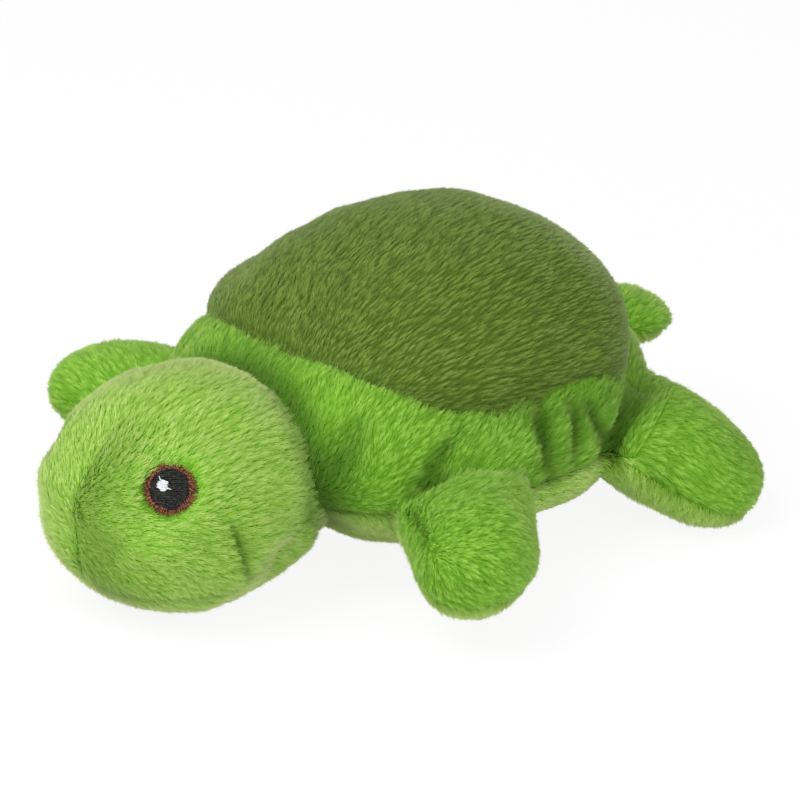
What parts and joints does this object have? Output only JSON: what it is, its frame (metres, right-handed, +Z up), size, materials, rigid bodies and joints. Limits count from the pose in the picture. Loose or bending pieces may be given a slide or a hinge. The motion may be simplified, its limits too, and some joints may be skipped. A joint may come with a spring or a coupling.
{
  "type": "plush turtle",
  "caption": "Small stuffed plush sea turtle with a domed shell, round head with embroidered eyes, paddle flippers and a short tail, lying on its belly.",
  "frame": {"origin": "on the flat of the belly that the toy lies on, straight under the middle of the shell", "axes": "+Z up, the head points along -Y, the turtle's left side is +X"},
  "size_m": [0.138, 0.1675, 0.0665],
  "materials": {
    "light_plush": "short pile plush, light green",
    "belly_plush": "short pile plush, pale green",
    "shell_plush": "short pile plush, dark green",
    "stuffing": "loose fibre fill, off-white",
    "ring_thread": "satin stitch, brown",
    "pupil_thread": "satin stitch, black",
    "highlight_thread": "satin stitch, white"
  },
  "bodies": {
    "torso": {"shell_panel": "shell_plush", "side_panel": "light_plush", "belly_panel": "belly_plush", "body_stuffing": "stuffing"},
    "neck": {"neck_pad": "stuffing"},
    "head": {"head_left_panel": "light_plush", "head_right_panel": "light_plush", "head_chin_panel": "light_plush", "head_stuffing": "stuffing", "eye_left_ring": "ring_thread", "eye_left_pupil": "pupil_thread", "eye_left_highlight": "highlight_thread", "eye_right_ring": "ring_thread", "eye_right_pupil": "pupil_thread", "eye_right_highlight": "highlight_thread"},
    "front_left_flipper": {"front_left_flipper_top_panel": "light_plush", "front_left_flipper_underside_panel": "light_plush", "front_left_flipper_stuffing": "stuffing"},
    "front_right_flipper": {"front_right_flipper_top_panel": "light_plush", "front_right_flipper_underside_panel": "light_plush", "front_right_flipper_stuffing": "stuffing"},
    "rear_left_flipper": {"rear_left_flipper_top_panel": "light_plush", "rear_left_flipper_underside_panel": "light_plush", "rear_left_flipper_stuffing": "stuffing"},
    "rear_right_flipper": {"rear_right_flipper_top_panel": "light_plush", "rear_right_flipper_underside_panel": "light_plush", "rear_right_flipper_stuffing": "stuffing"},
    "tail": {"tail_top_panel": "light_plush", "tail_underside_panel": "light_plush", "tail_stuffing": "stuffing"}
  },
  "joints": [
    {"name": "neck_turn", "type": "hinge", "parent": "torso", "child": "neck", "pos_m": [0, -0.05, 0.0248], "axis": [0, 0, 1], "range_deg": [-10, 10], "stiffness_Nm_per_rad": 0.15},
    {"name": "head_nod", "type": "hinge", "parent": "neck", "child": "head", "pos_m": [0, -0.05, 0.0248], "axis": [1, 0, 0], "range_deg": [-7, 10], "stiffness_Nm_per_rad": 0.15},
    {"name": "front_left_flap", "type": "hinge", "parent": "torso", "child": "front_left_flipper", "pos_m": [0.04124, -0.029, 0.0195], "axis": [-0.3613, -0.9325, 0], "range_deg": [-25, 25], "stiffness_Nm_per_rad": 0.05},
    {"name": "front_right_flap", "type": "hinge", "parent": "torso", "child": "front_right_flipper", "pos_m": [-0.04124, -0.029, 0.0195], "axis": [-0.3613, 0.9325, 0], "range_deg": [-25, 25], "stiffness_Nm_per_rad": 0.05},
    {"name": "rear_left_flap", "type": "hinge", "parent": "torso", "child": "rear_left_flipper", "pos_m": [0.03492, 0.03, 0.0195], "axis": [0.5686, -0.8226, 0], "range_deg": [-20, 35], "stiffness_Nm_per_rad": 0.05},
    {"name": "rear_right_flap", "type": "hinge", "parent": "torso", "child": "rear_right_flipper", "pos_m": [-0.03492, 0.03, 0.0195], "axis": [0.5686, 0.8226, 0], "range_deg": [-20, 35], "stiffness_Nm_per_rad": 0.05},
    {"name": "tail_flap", "type": "hinge", "parent": "torso", "child": "tail", "pos_m": [0, 0.05125, 0.0285], "axis": [1, 0, 0], "range_deg": [-25, 35], "stiffness_Nm_per_rad": 0.02}
  ]
}
